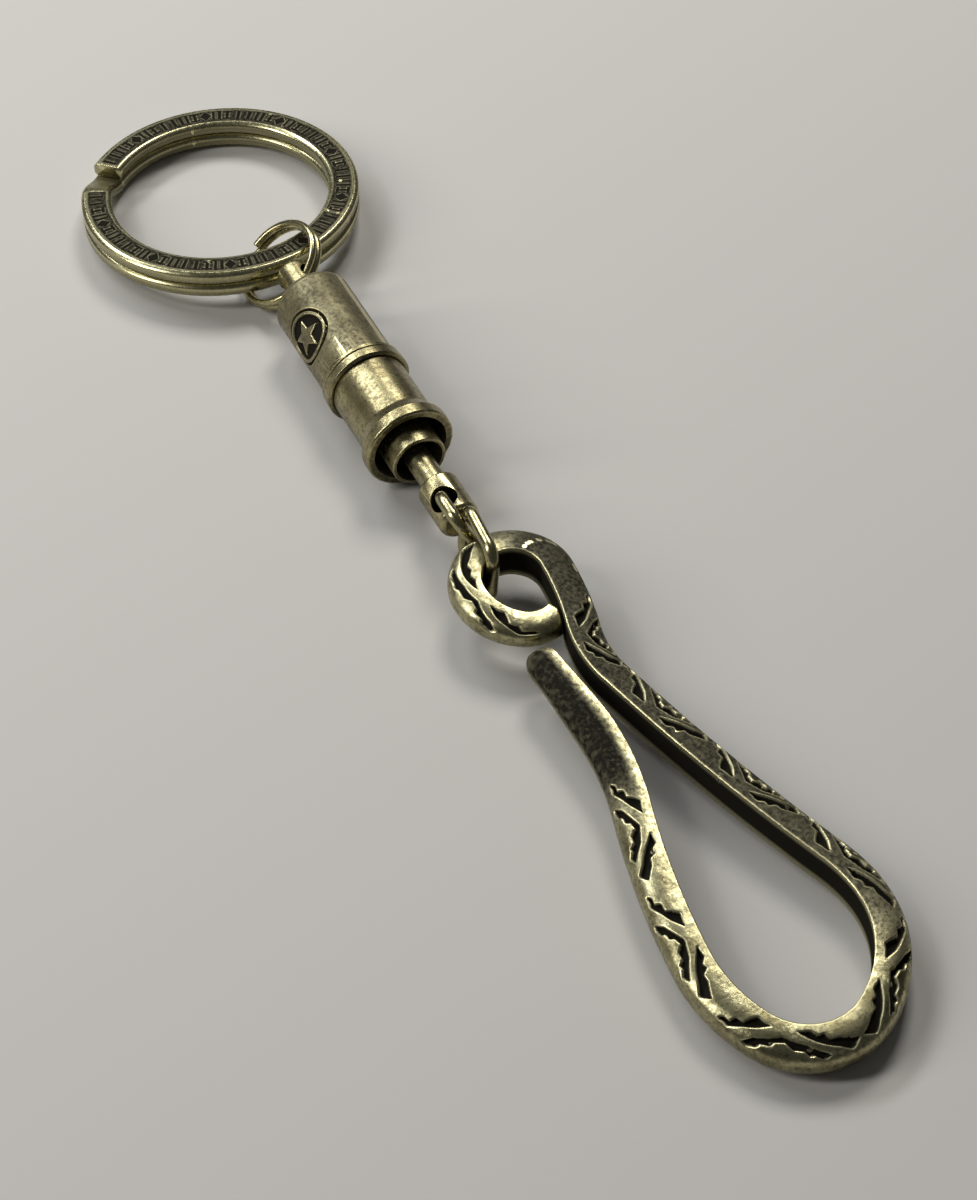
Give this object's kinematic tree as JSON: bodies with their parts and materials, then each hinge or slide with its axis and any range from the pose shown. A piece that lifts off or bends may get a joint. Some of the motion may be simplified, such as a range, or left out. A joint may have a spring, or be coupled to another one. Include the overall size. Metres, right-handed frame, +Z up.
{
  "type": "hook key holder",
  "caption": "Belt-hook key holder: curled brass hook on two chain links, ball-lock quick-release coupler and a flat split ring on a small round one.",
  "frame": {"origin": "on the table, under the middle of the whole assembly's outline", "axes": "+X along the coupler from the key ring to the hook, +Z up, +Y to the left when looking along +X"},
  "size_m": [0.1508, 0.0334, 0.0101],
  "materials": {
    "aged_brass": "polished high spots over dark patina",
    "turned_brass": "satin, lightly patinated",
    "spring_steel": "bright"
  },
  "bodies": {
    "housing": {"barrel": "turned_brass", "guide_collar": "turned_brass", "socket_tube": "turned_brass", "retaining_clip": "spring_steel", "return_spring": "spring_steel"},
    "release_sleeve": {"release_sleeve": "turned_brass"},
    "ball_1": {"ball_1": "spring_steel"},
    "ball_2": {"ball_2": "spring_steel"},
    "ball_3": {"ball_3": "spring_steel"},
    "ball_4": {"ball_4": "spring_steel"},
    "plug": {"plug": "turned_brass"},
    "link_a": {"link_a": "aged_brass"},
    "link_b": {"link_b": "aged_brass"},
    "hook": {"hook": "aged_brass"},
    "small_ring": {"small_split_ring": "aged_brass"},
    "main_ring": {"main_split_ring": "aged_brass"}
  },
  "joints": [
    {"name": "sleeve_slide", "type": "slide", "parent": "housing", "child": "release_sleeve", "axis": [-1, 0, 0], "range_m": [0, 0.0018], "stiffness_N_per_m": 400, "springref_m": -0.002, "deforming": ["return_spring"]},
    {"name": "ball_1_slide", "type": "slide", "parent": "housing", "child": "ball_1", "axis": [0, 0.7071, 0.7071], "range_m": [0, 0.0003]},
    {"name": "ball_2_slide", "type": "slide", "parent": "housing", "child": "ball_2", "axis": [0, 0.7071, -0.7071], "range_m": [0, 0.0003]},
    {"name": "ball_3_slide", "type": "slide", "parent": "housing", "child": "ball_3", "axis": [0, -0.7071, -0.7071], "range_m": [0, 0.0003]},
    {"name": "ball_4_slide", "type": "slide", "parent": "housing", "child": "ball_4", "axis": [0, -0.7071, 0.7071], "range_m": [0, 0.0003]},
    {"name": "plug_spin", "type": "hinge", "parent": "housing", "child": "plug", "pos_m": [-0.01103, 0.00056, 0.00506], "axis": [1, 0, 0], "continuous": true},
    {"name": "link_a_swing", "type": "hinge", "parent": "plug", "child": "link_a", "pos_m": [-0.00113, 0.00056, 0.00506], "axis": [0, -0.4695, 0.8829], "range_deg": [-11, 11]},
    {"name": "link_b_swing", "type": "hinge", "parent": "link_a", "child": "link_b", "pos_m": [0.00359, 0.00056, 0.00506], "axis": [0, -0.4695, 0.8829], "range_deg": [-8, 8]},
    {"name": "hook_turn", "type": "hinge", "parent": "link_b", "child": "hook", "pos_m": [0.01197, 0.00146, 0.00465], "axis": [0.0403, 0, 0.9992], "range_deg": [-9, 70]},
    {"name": "small_ring_swing", "type": "hinge", "parent": "housing", "child": "small_ring", "pos_m": [-0.03993, 0.00056, 0.00506], "axis": [0, 0.766, 0.6428], "range_deg": [-75, 28]},
    {"name": "main_ring_turn", "type": "hinge", "parent": "small_ring", "child": "main_ring", "pos_m": [-0.05933, -0.00074, 0.0028], "axis": [-0.0715, 0, 0.9974], "continuous": true}
  ],
  "couplings": [
    {"joint": "ball_1_slide", "follows": "sleeve_slide", "ratio": 0.1666},
    {"joint": "ball_2_slide", "follows": "sleeve_slide", "ratio": 0.1666},
    {"joint": "ball_3_slide", "follows": "sleeve_slide", "ratio": 0.1666},
    {"joint": "ball_4_slide", "follows": "sleeve_slide", "ratio": 0.1666}
  ]
}
